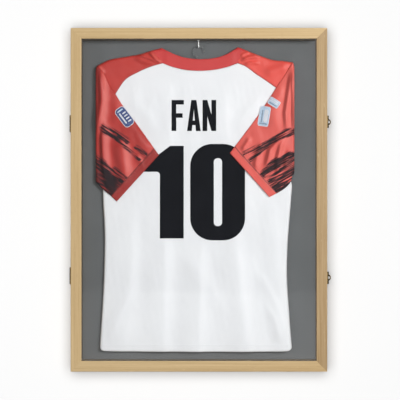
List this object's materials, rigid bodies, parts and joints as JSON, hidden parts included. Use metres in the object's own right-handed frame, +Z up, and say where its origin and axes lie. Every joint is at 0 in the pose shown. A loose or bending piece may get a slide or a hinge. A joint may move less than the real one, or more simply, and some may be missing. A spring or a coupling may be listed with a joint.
{
  "type": "jersey display frame",
  "caption": "Wall-hung oak display frame with a hinged glazed door, side hasp latches, and a jersey on a hanger inside.",
  "frame": {"origin": "centre of the rear face, in the plane that lies against the wall", "axes": "+X to the right as seen from the front, +Y back into the wall, +Z up; the door faces -Y"},
  "size_m": [0.6143, 0.045, 0.804],
  "materials": {
    "oak": "clear matt lacquer",
    "dark_bead": "dark brown stain",
    "clear_sheet": "polished, clear",
    "fibreboard": "smooth pressed face",
    "card": "plain",
    "grey_felt": "short brushed pile",
    "clear_plastic": "clear moulded",
    "white_enamel": "glossy dipped enamel",
    "zinc_steel": "zinc plated",
    "antique_brass": "antique, rubbed bright at the edges",
    "white_jersey": "knitted polyester",
    "red_jersey": "knitted polyester with dark printed streaks",
    "black_film": "flock-matt heat-pressed film",
    "blue_patch": "embroidered",
    "pale_patch": "embroidered"
  },
  "bodies": {
    "wall_box": {"box_rail_top": "oak", "box_rail_right": "oak", "box_rail_bottom": "oak", "box_rail_left": "oak", "box_corner_nails": "zinc_steel", "back_panel": "fibreboard", "back_panel_screws": "zinc_steel", "lining_card": "card", "felt_lining": "grey_felt", "hanging_plate_left": "zinc_steel", "hanging_plate_right": "zinc_steel", "hanging_plate_screws": "zinc_steel", "cup_hook": "white_enamel", "hinge_upper_box_leaf": "antique_brass", "hinge_lower_box_leaf": "antique_brass", "hinge_upper_pin": "antique_brass", "hinge_lower_pin": "antique_brass", "hinge_box_screws": "antique_brass", "catch_plate_upper": "antique_brass", "catch_plate_lower": "antique_brass", "staple_upper": "antique_brass", "staple_lower": "antique_brass", "catch_plate_screws": "antique_brass"},
    "door": {"door_rail_top": "oak", "door_rail_right": "oak", "door_rail_bottom": "oak", "door_rail_left": "oak", "door_corner_nails": "zinc_steel", "glazing": "clear_sheet", "glazing_bead_top": "dark_bead", "glazing_bead_right": "dark_bead", "glazing_bead_bottom": "dark_bead", "glazing_bead_left": "dark_bead", "hinge_upper_door_leaf": "antique_brass", "hinge_lower_door_leaf": "antique_brass", "hinge_door_screws": "antique_brass", "hasp_upper_leaf": "antique_brass", "hasp_lower_leaf": "antique_brass", "hasp_upper_pin": "antique_brass", "hasp_lower_pin": "antique_brass", "hasp_leaf_screws": "antique_brass"},
    "hasp_upper_flap": {"hasp_upper": "antique_brass"},
    "hasp_lower_flap": {"hasp_lower": "antique_brass"},
    "hanging_jersey": {"hanger": "clear_plastic", "hanger_hook": "clear_plastic", "jersey_front_panel": "white_jersey", "jersey_back_panel": "white_jersey", "jersey_collar": "red_jersey", "jersey_sleeve_left": "red_jersey", "jersey_sleeve_right": "red_jersey", "number_print": "black_film", "name_print": "black_film", "sleeve_patch_left": "blue_patch", "sleeve_patch_right": "pale_patch"}
  },
  "joints": [
    {"name": "door_swing", "type": "hinge", "parent": "wall_box", "child": "door", "pos_m": [-0.3019, -0.03, 0], "axis": [0, 0, -1], "range_deg": [0, 180]},
    {"name": "hasp_upper_swing", "type": "hinge", "parent": "door", "child": "hasp_upper_flap", "pos_m": [0.3023, -0.0332, 0.183], "axis": [0, 0, -1], "range_deg": [0, 165]},
    {"name": "hasp_lower_swing", "type": "hinge", "parent": "door", "child": "hasp_lower_flap", "pos_m": [0.3023, -0.0332, -0.183], "axis": [0, 0, -1], "range_deg": [0, 165]},
    {"name": "jersey_swing", "type": "hinge", "parent": "wall_box", "child": "hanging_jersey", "pos_m": [-0.001, -0.014, 0.3623], "axis": [0, 1, 0], "range_deg": [-2, 2]}
  ]
}
